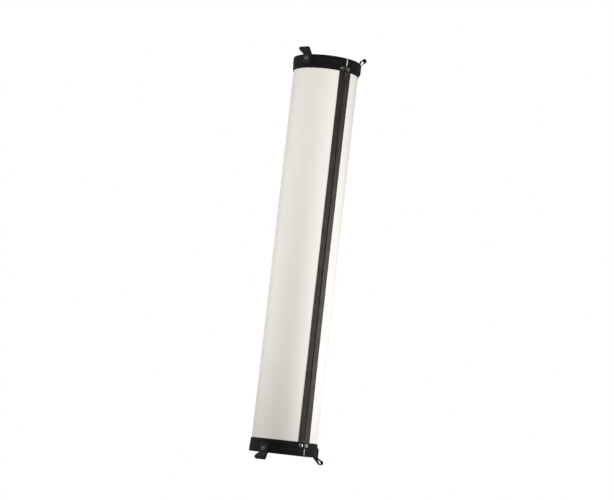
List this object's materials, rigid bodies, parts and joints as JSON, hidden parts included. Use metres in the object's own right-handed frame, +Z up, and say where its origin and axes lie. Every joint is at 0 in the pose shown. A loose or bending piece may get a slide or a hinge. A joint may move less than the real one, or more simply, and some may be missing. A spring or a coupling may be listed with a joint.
{
  "type": "zip light tube diffuser",
  "caption": "Long white cylindrical light diffuser closed by a black zip, with black fabric bands at its open ends and snap webbing loops that hang it from a lamp ring.",
  "frame": {"origin": "centre of the lower rim, on the tube's axis", "axes": "+Z up the tube's axis; the zip faces -Y"},
  "size_m": [0.2428, 0.2303, 1.2656],
  "materials": {
    "diffuser": "translucent white sheet, satin",
    "band_fabric": "plain black woven nylon",
    "webbing": "ribbed black webbing",
    "zip_tape": "black woven zip tape",
    "zip_nylon": "black nylon coil",
    "black_enamel": "black enamel, worn at the edges",
    "dark_nickel": "polished dark nickel",
    "plain_steel": "plain nickel-plated steel",
    "spring_steel": "spring steel strip"
  },
  "bodies": {
    "root": {"diffuser_sheet": "diffuser", "top_band": "band_fabric", "bottom_band": "band_fabric", "top_hoop": "spring_steel", "bottom_hoop": "spring_steel", "zip_tape_left": "zip_tape", "zip_tape_right": "zip_tape", "zip_chain_left": "zip_nylon", "zip_chain_right": "zip_nylon", "zip_stop_left": "plain_steel", "zip_stop_right": "plain_steel", "zip_retainer_box": "zip_nylon", "zip_insertion_pin": "plain_steel", "top_rivet_left": "dark_nickel", "top_rivet_left_burr": "plain_steel", "top_rivet_right": "dark_nickel", "top_rivet_right_burr": "plain_steel", "bottom_rivet_left": "dark_nickel", "bottom_rivet_left_burr": "plain_steel", "bottom_rivet_right": "dark_nickel", "bottom_rivet_right_burr": "plain_steel", "top_left_strap": "webbing", "top_left_snap_stud": "plain_steel", "top_right_strap": "webbing", "top_right_snap_stud": "plain_steel", "top_back_strap": "webbing", "top_back_snap_stud": "plain_steel", "bottom_left_strap": "webbing", "bottom_left_snap_stud": "plain_steel", "bottom_right_strap": "webbing", "bottom_right_snap_stud": "plain_steel", "bottom_back_strap": "webbing", "bottom_back_snap_stud": "plain_steel"},
    "slider": {"zip_slider": "black_enamel"},
    "pull": {"pull_tab": "black_enamel"},
    "top_left_flap": {"top_left_flap": "webbing", "top_left_snap_cap": "dark_nickel", "top_left_snap_socket": "plain_steel"},
    "top_right_flap": {"top_right_flap": "webbing", "top_right_snap_cap": "dark_nickel", "top_right_snap_socket": "plain_steel"},
    "top_back_flap": {"top_back_flap": "webbing", "top_back_snap_cap": "dark_nickel", "top_back_snap_socket": "plain_steel"},
    "bottom_left_flap": {"bottom_left_flap": "webbing", "bottom_left_snap_cap": "dark_nickel", "bottom_left_snap_socket": "plain_steel"},
    "bottom_right_flap": {"bottom_right_flap": "webbing", "bottom_right_snap_cap": "dark_nickel", "bottom_right_snap_socket": "plain_steel"},
    "bottom_back_flap": {"bottom_back_flap": "webbing", "bottom_back_snap_cap": "dark_nickel", "bottom_back_snap_socket": "plain_steel"}
  },
  "joints": [
    {"name": "zip_slide", "type": "slide", "parent": "root", "child": "slider", "axis": [0, 0, 1], "range_m": [-1.12, 0]},
    {"name": "pull_hinge", "type": "hinge", "parent": "slider", "child": "pull", "pos_m": [0, -0.1052, 1.1692], "axis": [-1, 0, 0], "range_deg": [0, 160]},
    {"name": "top_left_flap_hinge", "type": "hinge", "parent": "root", "child": "top_left_flap", "pos_m": [-0.11642, -0.0336, 1.23995], "axis": [-0.2773, 0.9608, 0], "range_deg": [0, 100]},
    {"name": "top_right_flap_hinge", "type": "hinge", "parent": "root", "child": "top_right_flap", "pos_m": [0.108, -0.04696, 1.24272], "axis": [-0.3987, -0.9171, 0], "range_deg": [0, 100]},
    {"name": "top_back_flap_hinge", "type": "hinge", "parent": "root", "child": "top_back_flap", "pos_m": [0, 0.11975, 1.24122], "axis": [1, 0, 0], "range_deg": [0, 100]},
    {"name": "bottom_left_flap_hinge", "type": "hinge", "parent": "root", "child": "bottom_left_flap", "pos_m": [-0.11351, -0.04087, -0.02124], "axis": [0.3387, -0.9409, 0], "range_deg": [0, 100]},
    {"name": "bottom_right_flap_hinge", "type": "hinge", "parent": "root", "child": "bottom_right_flap", "pos_m": [0.10963, -0.05466, -0.01939], "axis": [0.4462, 0.8949, 0], "range_deg": [0, 100]},
    {"name": "bottom_back_flap_hinge", "type": "hinge", "parent": "root", "child": "bottom_back_flap", "pos_m": [0, 0.11975, -0.02202], "axis": [-1, 0, 0], "range_deg": [0, 100]}
  ]
}
